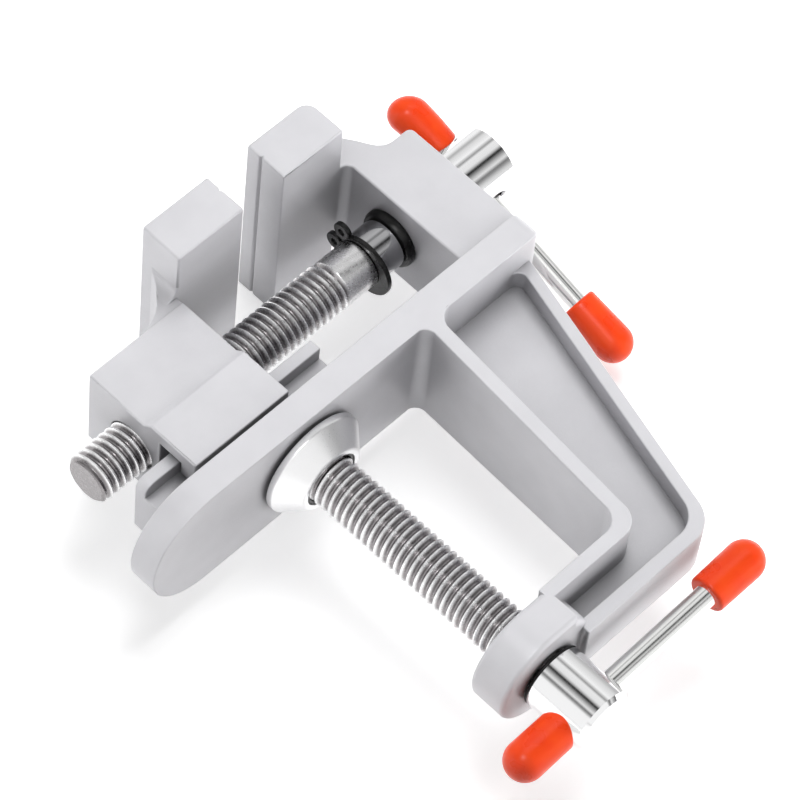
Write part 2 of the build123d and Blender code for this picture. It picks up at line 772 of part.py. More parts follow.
# ---- one file for each piece ----
os.makedirs("parts", exist_ok=True)
export_step(frame_casting.part, "parts/frame_casting.step")
export_step(shank_bush.part, "parts/shank_bush.step")
export_step(moving_jaw.part, "parts/moving_jaw.step")
export_step(lead_screw.part, "parts/lead_screw.step")
export_step(spacer_sleeve, "parts/spacer_sleeve.step")
export_step(retaining_clip.part, "parts/retaining_clip.step")
export_step(lead_screw_head.part, "parts/lead_screw_head.step")
export_step(lead_handle_bar, "parts/lead_handle_bar.step")
export_step(lead_cap_upper, "parts/lead_cap_upper.step")
export_step(lead_cap_lower, "parts/lead_cap_lower.step")
export_step(clamp_screw.part, "parts/clamp_screw.step")
export_step(clamp_pad.part, "parts/clamp_pad.step")
export_step(pad_retainer.part, "parts/pad_retainer.step")
export_step(stop_ring.part, "parts/stop_ring.step")
export_step(clamp_screw_head.part, "parts/clamp_screw_head.step")
export_step(clamp_handle_bar, "parts/clamp_handle_bar.step")
export_step(clamp_cap_near, "parts/clamp_cap_near.step")
export_step(clamp_cap_far, "parts/clamp_cap_far.step")
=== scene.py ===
import math

import bmesh
import bpy
from mathutils import Matrix, Vector


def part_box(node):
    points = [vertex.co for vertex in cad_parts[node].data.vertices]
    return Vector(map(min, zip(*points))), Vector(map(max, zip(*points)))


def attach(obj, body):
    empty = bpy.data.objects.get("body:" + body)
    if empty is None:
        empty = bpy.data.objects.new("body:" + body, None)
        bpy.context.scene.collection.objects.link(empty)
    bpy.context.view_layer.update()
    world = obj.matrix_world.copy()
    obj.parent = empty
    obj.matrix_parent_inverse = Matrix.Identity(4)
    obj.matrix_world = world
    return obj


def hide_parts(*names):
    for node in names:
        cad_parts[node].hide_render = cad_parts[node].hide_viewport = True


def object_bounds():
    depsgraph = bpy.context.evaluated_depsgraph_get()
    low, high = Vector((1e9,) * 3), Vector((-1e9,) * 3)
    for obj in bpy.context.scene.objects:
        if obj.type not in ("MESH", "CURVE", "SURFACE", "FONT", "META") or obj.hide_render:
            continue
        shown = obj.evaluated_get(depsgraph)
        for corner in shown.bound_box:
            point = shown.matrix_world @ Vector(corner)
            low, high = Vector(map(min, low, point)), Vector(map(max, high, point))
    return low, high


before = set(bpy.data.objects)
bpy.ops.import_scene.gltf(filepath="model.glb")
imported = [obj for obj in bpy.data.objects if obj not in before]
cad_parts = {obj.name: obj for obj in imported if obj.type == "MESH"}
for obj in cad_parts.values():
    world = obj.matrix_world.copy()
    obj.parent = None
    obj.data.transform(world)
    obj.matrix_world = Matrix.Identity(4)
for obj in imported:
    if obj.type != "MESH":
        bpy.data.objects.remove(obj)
cad_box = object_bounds()

# Everything is in metres, in the part's own frame: +Z from the bench to the jaws and +X
# along the lead screw to its head. The photograph shows the vise lying on its side, so the
# ground in it is the upright plane that the far ends of the jaws touch, and up in it is -Y.
MM = 0.001
X, Z = Vector((1, 0, 0)), Vector((0, 0, 1))

# ---- camera of the photograph ----
CAMERA_PLACE = Vector((-0.25715, -0.55114, -0.21933))
CAMERA_BACK = Vector((-0.41865, -0.84489, -0.33301))
CAMERA_UP = Vector((0.57663, -0.53059, 0.62125))
CAMERA_LENS = 212.95
CAMERA_SENSOR = 36
CAMERA_CLIP = (0.05, 20)

# ---- light ----
# even light of the world
EVEN_LIGHT = 0.26
# what the studio shows to gloss, as stops of (place, white), over places of -1.5 to 1.5
FLAG_SPAN = 1.5
FLAGS = (
    (-0.45, 1.0), (-0.36, 0.35), (-0.30, 0.15), (-0.20, 0.85), (-0.05, 0.40),
    (0.10, 0.03), (0.16, 0.03), (0.24, 0.50), (0.34, 0.85), (0.62, 0.90),
    (0.73, 0.30), (0.90, 1.0), (1.16, 0.75), (1.25, 0.45), (1.33, 1.0),
)
# lamps as (name, place from the middle of the vise, size, power, what they leave out)
LAMPS = (
    ("key", (0.16, -0.48, 0.08), 0.3, 1.76, {"glossy": False}),
    ("spark", (-0.17, -0.48, -0.03), 0.14, 0.5, {"diffuse": False}),
    ("side", (0.3, 0.0, -0.42), 0.3, 2.0, {"glossy": False}),
    ("left", (-0.35, -0.1, 0.25), 0.3, 0.66, {"glossy": False}),
    ("back", (0.1, 0.6, 0.2), 0.5, 1.5, {"glossy": False}),
)
# the ground: half its width, its gap to the jaws, its colour to bounced light, and its glow
GROUND_REACH = 1.5
GROUND_GAP = 0.02 * MM
GROUND_BOUNCE = 0.4
GROUND_GLOW = 0.45

# ---- meshes ----
# points closer than this are one point, and edges shorter than the second are no edges
WELD = 1e-7
SPECK = 1e-8
# softened edges
CASTING_EDGE = 0.22 * MM
TURNED_EDGE = 0.15 * MM
EDGE_STEPS = 3
SHARP_ANGLE = math.radians(35)
FLAT_ANGLE = math.radians(1)
# steps of a full turn, and of a rounded corner in a profile
ROUND_STEPS = 96
CORNER_STEPS = 5

# ---- screws ----
PITCH = 1.25 * MM
THREAD_DEPTH = 0.68 * MM
THREAD_CHAMFER = 0.7 * MM
THREAD_STEPS = 64
# one pitch of the thread as (share of the pitch, share of the depth)
THREAD_FORM = (
    (0.0, 0.0), (0.12, 0.0), (0.2, 0.1), (0.4, 0.86),
    (0.47, 1.0), (0.62, 1.0), (0.69, 0.86), (0.9, 0.1),
)
# the lead screw past its thread: a short cone, a plain shank up to the clip, and a journal
LEAD_THREAD = 46.7 * MM
SHANK_OVERLAP = 0.2 * MM
SHANK_CONE = 0.5 * MM
SHANK_ROUND = 0.3 * MM
SHANK_DROP = 0.12 * MM
CLIP_GAP = 0.05 * MM
JOURNAL_RADIUS = 3.25 * MM

# ---- heads ----
LEAD_HOLE_OFFSET = 4.75 * MM
LEAD_HOLE_RADIUS = 2.3 * MM
CLAMP_HOLE_PLAY = 0.2 * MM
# how near the corners of a face in the hole lie to its wall, and how well the face looks at
# the hole's axis
HOLE_TOLERANCE = 0.03 * MM
HOLE_FACING = 0.9
# from which slope a face is a chamfer, and from which a flat end
CHAMFER_SLOPE = 0.3
END_SLOPE = 0.95

# ---- handle bars with their caps, measured along the bar from the screw's axis ----
LEAD_BAR_OFFSET = 4.1 * MM
LEAD_BAR_RADIUS = 1.5 * MM
LEAD_BAR_TILT = math.radians(20)
LEAD_BAR_LEAN = math.radians(1.4)
LEAD_BAR_ENDS = (12.9 * MM, 32.4 * MM)
CLAMP_BAR_TILT = math.radians(3)
CLAMP_BAR_ENDS = (12.6 * MM, 32.1 * MM)
BAR_CHAMFER = 0.3 * MM
# the near caps start at the head
LEAD_UPPER_CAP = {"end": 14.9 * MM, "mouth": 2.7 * MM, "bend": 0.9 * MM}
LEAD_LOWER_CAP = {"start": 23.8 * MM, "end": 34.4 * MM, "mouth": 2.65 * MM}
CLAMP_NEAR_CAP = {"end": 14.6 * MM, "mouth": 2.95 * MM}
CLAMP_FAR_CAP = {"start": 23.5 * MM, "end": 34.1 * MM, "mouth": 2.9 * MM}
CAP_BALL = 3.0 * MM
CAP_WALL = 2.0 * MM
CAP_LIP = 0.5 * MM
CAP_GAP = 0.12 * MM
# how far from its mouth a near cap follows the round head
CAP_HUG = 2.5 * MM
CAP_RINGS = 12

# ---- surfaces ----
# painted shade: how far from a corner an occlusion node darkens the castings' colour, and how white
# they stay in a closed one
SHADE_REACH = 11 * MM
SHADE_WHITE = 0.35
SHADE_SAMPLES = 8
# patterns as (size of the blobs, detail)
CLOUDS = (7 * MM, 4.0)
GRAIN = (0.28 * MM, 2.0)
LINES = (0.12 * MM, 3.0)
WEAR = (0.5 * MM, 4.0)
BLOTCHES = (3 * MM, 2.0)
PEEL = (0.9 * MM, 1.0)
# bumps as (strength, depth)
GRAIN_BUMP = (0.35, 0.012 * MM)
WEAR_BUMP = (0.2, 0.02 * MM)
PEEL_BUMP = (0.12, 0.03 * MM)
LINE_DEPTH = 0.004 * MM
# how the patterns change the roughness, by a sum, by a factor, and outright
CAST_SPREAD = (-0.04, 0.05)
PLASTIC_SPREAD = (-0.05, 0.07)
TURNED_SPREAD = (0.75, 1.3)
THREAD_ROUGHNESS = (0.2, 0.38)
# colours of a thread, darker in its grooves as painted shade, and how far below its crests they
# start and end
GROOVE_SHADE_COLOR = (0.30, 0.285, 0.29)
CREST_COLOR = (0.95, 0.95, 0.955)
GROOVE_DROP = 0.6 * THREAD_DEPTH
CREST_DROP = 0.03 * MM
# turned metals as name: (colour, roughness, stretch of the fine lines, their strength)
TURNED_METALS = {
    "chrome_lead": ((0.90, 0.90, 0.905), 0.08, (1, 30, 30), 0.05),
    "chrome_clamp": ((0.90, 0.90, 0.905), 0.08, (30, 30, 1), 0.05),
    # painted shade: darker copies of the chrome on the heads' chamfers draw a dark rim on one head
    # and a grey rim on the other
    "dark_rim_shade": ((0.12, 0.12, 0.125), 0.25, (1, 1, 1), 0.05),
    "grey_rim_shade": ((0.42, 0.42, 0.43), 0.2, (1, 1, 1), 0.05),
    "end_metal": ((0.66, 0.66, 0.67), 0.3, (1, 1, 1), 0.1),
    "cut_metal": ((0.86, 0.86, 0.86), 0.35, (1, 1, 1), 0.1),
    # painted shade: the wall of the hole through a head is coloured nearly black
    "bore_shade": ((0.10, 0.10, 0.105), 0.4, (1, 1, 1), 0.1),
    "sleeve_metal": ((0.42, 0.42, 0.43), 0.11, (1, 20, 20), 0.02),
    "lead_bar_metal": ((0.88, 0.88, 0.87), 0.14, (1, 1, 40), 0.05),
    "clamp_bar_metal": ((0.88, 0.88, 0.87), 0.14, (40, 1, 1), 0.05),
    "satin_nickel": ((0.90, 0.90, 0.905), 0.34, (1, 1, 1), 0.04),
}
# plastics, and the blackened clip, as name: (dark, light, roughness, specular, glow)
PLASTICS = {
    "red_cap": ((0.94, 0.050, 0.003), (1.0, 0.075, 0.006), 0.3, 0.4, 0.05),
    "black_plastic": ((0.004, 0.004, 0.004), (0.008, 0.008, 0.008), 0.3, 0.3, 0.0),
    "black_steel": ((0.004, 0.004, 0.004), (0.009, 0.009, 0.009), 0.25, 0.35, 0.0),
    "black_rubber": ((0.004, 0.004, 0.004), (0.007, 0.007, 0.007), 0.45, 0.25, 0.0),
}
# the casting and its edges as name: (dark, light, metallic, roughness); the edges are polished, and
# their brighter colour is a painted highlight
CAST_METALS = {
    "cast_aluminium": ((0.76, 0.755, 0.785), (0.82, 0.815, 0.845), 0.2, 0.4),
    "cast_aluminium_edge_highlight": ((0.92, 0.92, 0.94), (0.98, 0.98, 0.99), 0.85, 0.25),
}


# ---- meshes ----
def add_piece(name, mesh, body, materials, node):
    """Puts a finished mesh into the scene, on its body, in place of the named CAD node."""
    piece = bpy.data.objects.new(name, mesh)
    bpy.context.scene.collection.objects.link(piece)
    mesh.materials.clear()
    for material in materials:
        mesh.materials.append(material)
    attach(piece, body)
    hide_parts(node)
    return piece


def mesh_from(bm, name):
    """Turns a bmesh into a named mesh with smooth faces that point outwards."""
    bmesh.ops.recalc_face_normals(bm, faces=bm.faces)
    for face in bm.faces:
        face.smooth = True
    mesh = bpy.data.meshes.new(name)
    bm.to_mesh(mesh)
    bm.free()
    mesh.set_sharp_from_angle(angle=SHARP_ANGLE)
    return mesh


def softened(node, edge):
    """Copy of a CAD node's mesh whose outer edges are rounded over, with the rounds in slot 1."""
    bm = bmesh.new()
    bm.from_mesh(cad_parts[node].data)
    bmesh.ops.remove_doubles(bm, verts=bm.verts, dist=WELD)
    bmesh.ops.dissolve_limit(bm, angle_limit=FLAT_ANGLE, verts=bm.verts, edges=bm.edges)
    sharp = [e for e in bm.edges if e.is_convex and e.calc_face_angle(0) > SHARP_ANGLE]
    for face in bm.faces:
        face.material_index = 0
    bmesh.ops.bevel(
        bm, geom=sharp, offset=edge, offset_type="OFFSET", segments=EDGE_STEPS, profile=0.5,
        affect="EDGES", clamp_overlap=False, material=1, loop_slide=True, miter_outer="ARC",
    )
    return mesh_from(bm, node + "_soft")


def from_line(point, line):
    """Direction and distance to a point from a line, given as (origin, axis)."""
    origin, axis = line
    away = (point - origin) - axis * (point - origin).dot(axis)
    return away.normalized(), away.length


def turned(node, line, hole, hole_radius):
    """Copy of a turned CAD node with true round normals.

    Slot 0 is its round side, 1 the hole across it, 2 its chamfers and 3 its flat ends.
    """
    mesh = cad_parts[node].data.copy()
    mesh.name = node + "_turned"
    normals = [None] * len(mesh.loops)
    for face in mesh.polygons:
        corners = [mesh.vertices[v].co for v in face.vertices]
        round_line = line
        face.material_index = 0
        if all(abs(from_line(c, hole)[1] - hole_radius) < HOLE_TOLERANCE for c in corners):
            if abs(from_line(face.center, hole)[0].dot(face.normal)) > HOLE_FACING:
                round_line = hole
                face.material_index = 1
        axis = round_line[1]
        along = face.normal.dot(axis)
        outward = face.normal.dot(from_line(face.center, round_line)[0])
        if face.material_index == 0 and abs(along) > CHAMFER_SLOPE:
            face.material_index = 2 if abs(along) < END_SLOPE else 3
        for index in face.loop_indices:
            corner = mesh.vertices[mesh.loops[index].vertex_index].co
            out = from_line(corner, round_line)[0]
            normals[index] = (axis * along + out * outward).normalized()
    mesh.polygons.foreach_set("use_smooth", [True] * len(mesh.polygons))
    mesh.normals_split_custom_set(normals)
    return mesh


def lathe(bm, origin, direction, profile):
    """Turns a profile of (along, out) points about a line."""
    axis = direction.normalized()
    side = axis.orthogonal().normalized()
    across = axis.cross(side)
    rings = []
    for along, out in profile:
        middle = origin + axis * along
        if out < WELD:
            rings.append([bm.verts.new(middle)])
            continue
        ring = []
        for step in range(ROUND_STEPS):
            angle = 2 * math.pi * step / ROUND_STEPS
            spoke = side * out * math.cos(angle) + across * out * math.sin(angle)
            ring.append(bm.verts.new(middle + spoke))
        rings.append(ring)
    for first, second in zip(rings, rings[1:]):
        for step in range(ROUND_STEPS):
            after = (step + 1) % ROUND_STEPS
            if len(first) == 1:
                bm.faces.new((first[0], second[step], second[after]))
            elif len(second) == 1:
                bm.faces.new((first[after], first[step], second[0]))
            else:
                bm.faces.new((first[step], second[step], second[after], first[after]))


def rounded(corners):
    """Profile whose corners, given as (along, out, radius), are rounded by their radius."""
    points = []
    for index, (along, out, radius) in enumerate(corners):
        here = Vector((along, out))
        if radius == 0:
            points.append(here)
            continue
        before = (Vector(corners[index - 1][:2]) - here).normalized()
        after = (Vector(corners[(index + 1) % len(corners)][:2]) - here).normalized()
        half = before.angle(after) / 2
        middle = here + (before + after).normalized() * (radius / math.sin(half))
        start = here + before * (radius / math.tan(half)) - middle
        end = here + after * (radius / math.tan(half)) - middle
        start_angle = math.atan2(start.y, start.x)
        turn = math.atan2(end.y, end.x) - start_angle
        turn = (turn + math.pi) % (2 * math.pi) - math.pi
        for step in range(CORNER_STEPS + 1):
            angle = start_angle + turn * step / CORNER_STEPS
            points.append(middle + Vector((math.cos(angle), math.sin(angle))) * radius)
    return points


def thread(bm, start, direction, radius, length):
    """Right-hand thread with a chamfer at its start, and end faces in slot 1."""
    axis = direction.normalized()
    side = axis.orthogonal().normalized()
    across = axis.cross(side)
    root = radius - THREAD_DEPTH

    def height(along, angle):
        """Radius of the thread at a point of the rod."""
        share = (along / PITCH - angle / (2 * math.pi)) % 1.0
        closed = THREAD_FORM + ((1.0, 0.0),)
        for (low, low_rise), (high, high_rise) in zip(closed, closed[1:]):
            if low <= share <= high:
                rise = low_rise + (high_rise - low_rise) * (share - low) / (high - low)
                return root + THREAD_DEPTH * rise
        return root

    # columns of one pitch each, one turn of the helix after the other
    turns = math.ceil(length / PITCH) + 2
    columns = []
    for step in range(turns * THREAD_STEPS + 1):
        angle = 2 * math.pi * step / THREAD_STEPS
        spoke = side * math.cos(angle) + across * math.sin(angle)
        column = []
        for share, rise in THREAD_FORM:
            along = PITCH * (step / THREAD_STEPS - 1 + share)
            out = root + THREAD_DEPTH * rise
            if not 0 < along < length:
                along = min(max(along, 0), length)
                out = height(along, angle)
            out = min(out, radius - THREAD_CHAMFER + along)
            column.append(bm.verts.new(start + axis * along + spoke * out))
        columns.append(column)
    for step in range(len(columns) - 1):
        this, following = columns[step], columns[step + 1]
        for place in range(len(THREAD_FORM) - 1):
            bm.faces.new((
                this[place], following[place], following[place + 1], this[place + 1],
            ))
        if step + THREAD_STEPS + 1 < len(columns):
            ahead, ahead_after = columns[step + THREAD_STEPS], columns[step + THREAD_STEPS + 1]
            bm.faces.new((this[-1], following[-1], ahead_after[0], ahead[0]))
    bmesh.ops.remove_doubles(bm, verts=bm.verts, dist=WELD)
    bmesh.ops.dissolve_degenerate(bm, dist=SPECK, edges=bm.edges)
    rims = [e for e in bm.edges if e.is_boundary]
    for face in bmesh.ops.holes_fill(bm, edges=rims, sides=0)["faces"]:
        face.material_index = 1


# ---- materials ----
def new_material(name, color, metallic, roughness):
    """Material with a Principled shader, and the two."""
    material = bpy.data.materials.new(name)
    material.use_nodes = True
    shader = material.node_tree.nodes["Principled BSDF"]
    shader.inputs["Base Color"].default_value = (*color, 1)
    shader.inputs["Metallic"].default_value = metallic
    shader.inputs["Roughness"].default_value = roughness
    return material, shader


def new_node(owner, kind, **values):
    """Adds a node to a material or world, and sets its settings and inputs by name."""
    made = owner.node_tree.nodes.new(kind)
    for name, value in values.items():
        if hasattr(made, name):
            setattr(made, name, value)
        else:
            made.inputs[name.replace("_", " ").title()].default_value = value
    return made


def link(owner, start, end):
    """Joins two sockets in a material or world."""
    owner.node_tree.links.new(start, end)


def noise(material, size, detail, stretch=(1, 1, 1)):
    """Noise whose blobs are about size metres across, stretched along the object's axes."""
    place = new_node(material, "ShaderNodeTexCoord")
    scaled = new_node(material, "ShaderNodeMapping", scale=[1 / (size * s) for s in stretch])
    pattern = new_node(material, "ShaderNodeTexNoise", detail=detail, scale=1.0)
    link(material, place.outputs["Object"], scaled.inputs["Vector"])
    link(material, scaled.outputs["Vector"], pattern.inputs["Vector"])
    return pattern.outputs["Fac"]


def remap(owner, value, low, high, start=0.3, end=0.7):
    """Maps a value from start..end, by default the usual span of noise, to low..high."""
    mapped = new_node(
        owner, "ShaderNodeMapRange", from_min=start, from_max=end, to_min=low, to_max=high,
    )
    link(owner, value, mapped.inputs["Value"])
    return mapped.outputs["Result"]


def blend_colors(material, factor, first, second):
    """Colour that runs from the first to the second with the factor."""
    ramp = new_node(material, "ShaderNodeValToRGB")
    ramp.color_ramp.elements[0].color = (*first, 1)
    ramp.color_ramp.elements[1].color = (*second, 1)
    link(material, factor, ramp.inputs["Fac"])
    return ramp.outputs["Color"]


def bump(material, shader, height, strength, depth):
    """Bump from a height, depth metres deep."""
    raised = new_node(material, "ShaderNodeBump", strength=strength, distance=depth)
    link(material, height, raised.inputs["Height"])
    link(material, raised.outputs["Normal"], shader.inputs["Normal"])


def cast_metal(name, dark, light, metallic, roughness):
    """Tumbled die casting: a sandy grain, faint clouds in colour and polish, and painted shade that
    darkens its colour in corners.
    """
    material, shader = new_material(name, light, metallic, roughness)
    clouds = noise(material, *CLOUDS)
    # painted shade: an ambient occlusion node darkens the base colour in corners and recesses
    painted_shade = new_node(
        material, "ShaderNodeAmbientOcclusion", samples=SHADE_SAMPLES, distance=SHADE_REACH,
    )
    shaded = new_node(material, "ShaderNodeVectorMath", operation="SCALE")
    color = blend_colors(material, remap(material, clouds, 0, 1), dark, light)
    link(material, color, shaded.inputs[0])
    white = remap(material, painted_shade.outputs["AO"], SHADE_WHITE, 1, 0, 1)
    link(material, white, shaded.inputs["Scale"])
    link(material, shaded.outputs["Vector"], shader.inputs["Base Color"])
    polish = remap(material, clouds, roughness + CAST_SPREAD[0], roughness + CAST_SPREAD[1])
    link(material, polish, shader.inputs["Roughness"])
    bump(material, shader, noise(material, *GRAIN), *GRAIN_BUMP)
    return material


def turned_metal(name, color, roughness, stretch, grain):
    """Turned or drawn metal with fine lines, longer along the stretched axes."""
    material, shader = new_material(name, color, 1.0, roughness)
    lines = noise(material, *LINES, stretch)
    polish = remap(material, lines, roughness * TURNED_SPREAD[0], roughness * TURNED_SPREAD[1])
    link(material, polish, shader.inputs["Roughness"])
    bump(material, shader, lines, grain, LINE_DEPTH)
    return material


def thread_metal(name, axis_point, axis, radius):
    """Bright zinc on the crests of a thread, with painted shade that darkens it in its grooves."""
    material, shader = new_material(name, (0.75, 0.75, 0.76), 1.0, 0.28)
    # distance from the screw's axis
    place = new_node(material, "ShaderNodeTexCoord")
    offset = new_node(material, "ShaderNodeVectorMath", operation="SUBTRACT")
    offset.inputs[1].default_value = axis_point
    flat = new_node(material, "ShaderNodeVectorMath", operation="MULTIPLY")
    flat.inputs[1].default_value = [1 - abs(v) for v in axis]
    out = new_node(material, "ShaderNodeVectorMath", operation="LENGTH")
    link(material, place.outputs["Object"], offset.inputs[0])
    link(material, offset.outputs["Vector"], flat.inputs[0])
    link(material, flat.outputs["Vector"], out.inputs[0])
    depth = remap(
        material, out.outputs["Value"], 0, 1, radius - GROOVE_DROP, radius - CREST_DROP,
    )
    # painted shade: the colour darkens with depth into the grooves
    color = blend_colors(material, depth, GROOVE_SHADE_COLOR, CREST_COLOR)
    link(material, color, shader.inputs["Base Color"])
    wear = noise(material, *WEAR)
    link(material, remap(material, wear, *THREAD_ROUGHNESS), shader.inputs["Roughness"])
    bump(material, shader, wear, *WEAR_BUMP)
    return material


def soft_plastic(name, dark, light, roughness, specular, glow):
    """Dipped or moulded plastic: smooth, with a slight orange peel."""
    material, shader = new_material(name, light, 0.0, roughness)
    shader.inputs["Specular IOR Level"].default_value = specular
    shader.inputs["Emission Color"].default_value = (*light, 1)
    shader.inputs["Emission Strength"].default_value = glow
    blotches = noise(material, *BLOTCHES)
    color = blend_colors(material, remap(material, blotches, 0, 1), dark, light)
    link(material, color, shader.inputs["Base Color"])
    low, high = PLASTIC_SPREAD
    polish = remap(material, blotches, roughness + low, roughness + high)
    link(material, polish, shader.inputs["Roughness"])
    bump(material, shader, noise(material, *PEEL), *PEEL_BUMP)
    return material


lead_low, lead_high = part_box("lead_screw")
lead_middle = (lead_low + lead_high) / 2
screw_radius = (lead_high.y - lead_low.y) / 2

paint = {name: cast_metal(name, *look) for name, look in CAST_METALS.items()}
paint["lead_thread"] = thread_metal("lead_thread", lead_middle, X, screw_radius)
paint["clamp_thread"] = thread_metal("clamp_thread", Vector((0, 0, 0)), Z, screw_radius)
paint.update({name: turned_metal(name, *look) for name, look in TURNED_METALS.items()})
paint.update({name: soft_plastic(name, *look) for name, look in PLASTICS.items()})


# ---- pieces ----
def keep_softened(node, body, material, edge_material, edge):
    """Shows a CAD node with its sharp edges rounded over."""
    materials = (paint[material], paint[edge_material])
    piece = add_piece(node + "_soft", softened(node, edge), body, materials, node)
    flat = piece.modifiers.new("flat_faces", "WEIGHTED_NORMAL")
    flat.keep_sharp = True


def make_castings():
    """The frame and the moving jaw."""
    for node, body in (("frame_casting", "frame"), ("moving_jaw", "jaw")):
        # the rounds on the edges get a polished copy of the casting whose brighter colour is a
        # painted highlight
        keep_softened(
            node, body, "cast_aluminium", "cast_aluminium_edge_highlight", CASTING_EDGE,
        )


def make_small_pieces():
    """Sleeve, clip, bush, ring and pad, which keep their CAD form."""
    for node, body, slot, material in (
        ("spacer_sleeve", "lead_screw", "zinc_steel", "sleeve_metal"),
        ("retaining_clip", "lead_screw", "black_steel", "black_steel"),
        ("shank_bush", "frame", "black_plastic", "black_plastic"),
        ("stop_ring", "clamp_screw", "black_rubber", "black_rubber"),
        ("pad_retainer", "pad", "black_plastic", "black_plastic"),
        ("clamp_pad", "pad", "nickel_steel", "satin_nickel"),
    ):
        keep_softened(node, body, material, material, TURNED_EDGE)


def make_lead_screw():
    """Thread, plain shank up to the clip, and the journal that runs on into the head."""
    start = Vector((lead_low.x, lead_middle.y, lead_middle.z))
    full_length = lead_high.x - lead_low.x
    shank_radius = screw_radius - SHANK_DROP
    shank_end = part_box("retaining_clip")[0].x - lead_low.x - CLIP_GAP
    bm = bmesh.new()
    thread(bm, start, X, screw_radius, LEAD_THREAD)
    threaded = len(bm.faces)
    lathe(bm, start, X, rounded([
        (LEAD_THREAD - SHANK_OVERLAP, 0, 0),
        (LEAD_THREAD - SHANK_OVERLAP, screw_radius - THREAD_DEPTH, 0),
        (LEAD_THREAD + SHANK_CONE, shank_radius, SHANK_ROUND),
        (shank_end, shank_radius, TURNED_EDGE),
        (shank_end, JOURNAL_RADIUS, 0),
        (full_length, JOURNAL_RADIUS, 0),
        (full_length, 0, 0),
    ]))
    bm.faces.ensure_lookup_table()
    for face in bm.faces[threaded:]:
        face.material_index = 2
    name = "lead_screw_threaded"
    materials = (paint["lead_thread"], paint["cut_metal"], paint["sleeve_metal"])
    add_piece(name, mesh_from(bm, name), "lead_screw", materials, "lead_screw")


def make_clamp_screw():
    """Thread over the full length of the clamp screw, with its chamfer inside the pad."""
    low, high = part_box("clamp_screw")
    bm = bmesh.new()
    thread(bm, Vector((0, 0, high.z)), -Z, screw_radius, high.z - low.z)
    name = "clamp_screw_threaded"
    materials = (paint["clamp_thread"], paint["cut_metal"])
    add_piece(name, mesh_from(bm, name), "clamp_screw", materials, "clamp_screw")


def make_head(node, body, chrome, edge, line, hole, hole_radius):
    """Chromed screw head, a turned cylinder with a hole through it for the handle bar."""
    # painted shade: the hole's wall and the chamfers get darker metals than the chrome
    materials = (paint[chrome], paint["bore_shade"], paint[edge], paint["end_metal"])
    mesh = turned(node, line, hole, hole_radius)
    add_piece(node + "_turned", mesh, body, materials, node)


def make_bar(node, body, material, center, axis, ends, radius):
    """Round handle bar with slightly broken ends."""
    back, front = ends
    bm = bmesh.new()
    lathe(bm, center, axis, [
        (-back, 0), (-back, radius - BAR_CHAMFER), (BAR_CHAMFER - back, radius),
        (front - BAR_CHAMFER, radius), (front, radius - BAR_CHAMFER), (front, 0),
    ])
    name = node + "_turned"
    add_piece(name, mesh_from(bm, name), body, (paint[material],), node)


def make_cap(node, body, center, outward, bore, start, end, mouth, head=None, bend=0.0):
    """Dipped cap on a bar of radius bore, from start to end, with a round tip.

    head is the (axis, radius) that its mouth is pressed against, and bend moves its tip.
    """
    floor = end - CAP_WALL
    profile = rounded([
        (floor, 0, 0), (floor, bore, 0), (start, bore, 0), (start, mouth, CAP_LIP),
        (end, CAP_BALL, 0),
    ])[:-1]
    low, high = start + CAP_LIP, end - CAP_BALL
    for ring in range(1, CAP_RINGS):
        share = ring / CAP_RINGS
        profile.append((low + (high - low) * share, mouth + (CAP_BALL - mouth) * share))
    for ring in range(CAP_RINGS + 1):
        angle = math.pi / 2 * ring / CAP_RINGS
        profile.append((high + CAP_BALL * math.sin(angle), CAP_BALL * math.cos(angle)))
    bm = bmesh.new()
    lathe(bm, center, outward, profile)
    for vertex in bm.verts:
        along = (vertex.co - center).dot(outward)
        if head:
            axis, radius = head
            aside = (vertex.co - center).dot(axis.cross(outward))
            drop = radius - math.sqrt(radius**2 - aside**2)
            vertex.co -= outward * drop * min(max((start + CAP_HUG - along) / CAP_HUG, 0), 1)
        vertex.co -= X * bend * max((along - start) / (end - start), 0) ** 2
    name = node + "_dipped"
    piece = add_piece(name, mesh_from(bm, name), body, (paint["red_cap"],), node)
    piece.visible_glossy = False


def make_lead_handle():
    """Head, bar and caps of the lead screw. The bar leans, and its upper cap is bent."""
    low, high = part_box("lead_screw_head")
    near = (high.y - low.y) / 2 + CAP_GAP
    center = Vector((low.x + LEAD_BAR_OFFSET, lead_middle.y, lead_middle.z))
    hole_place = Vector((low.x + LEAD_HOLE_OFFSET, lead_middle.y, lead_middle.z))
    hole_axis = Vector((0, math.sin(LEAD_BAR_TILT), -math.cos(LEAD_BAR_TILT)))
    down = X * math.sin(LEAD_BAR_LEAN) + hole_axis * math.cos(LEAD_BAR_LEAN)
    make_head(
        "lead_screw_head", "lead_screw", "chrome_lead", "dark_rim_shade", (lead_middle, X),
        (hole_place, hole_axis), LEAD_HOLE_RADIUS,
    )
    make_bar(
        "lead_handle_bar", "lead_bar", "lead_bar_metal", center, down, LEAD_BAR_ENDS,
        LEAD_BAR_RADIUS,
    )
    make_cap(
        "lead_cap_upper", "lead_bar", center, -down, LEAD_BAR_RADIUS, start=near,
        head=(X, near), **LEAD_UPPER_CAP,
    )
    make_cap(
        "lead_cap_lower", "lead_bar", center, down, LEAD_BAR_RADIUS, **LEAD_LOWER_CAP,
    )


